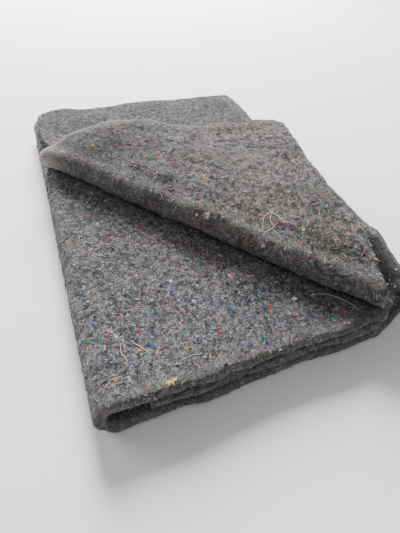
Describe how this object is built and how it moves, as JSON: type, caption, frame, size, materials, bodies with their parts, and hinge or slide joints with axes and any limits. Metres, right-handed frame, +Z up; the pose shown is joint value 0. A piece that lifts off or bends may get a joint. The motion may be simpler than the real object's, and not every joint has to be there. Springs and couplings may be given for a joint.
{
  "type": "folded moving blanket",
  "caption": "Thick grey recycled-felt moving blanket, folded into a flat layered pad with one corner of its top panel turned back over a slanting crease.",
  "frame": {"origin": "centre of the bounding box in plan, on the surface the pad lies on", "axes": "+X along the folded front towards the outer bend, +Y from the folded front edge to the cut back edges, +Z up"},
  "size_m": [0.4804, 0.6764, 0.1149],
  "materials": {
    "grey_felt": "rough needled felt of recycled fibres"
  },
  "bodies": {
    "root": {"moving_blanket": "grey_felt"}
  },
  "joints": []
}
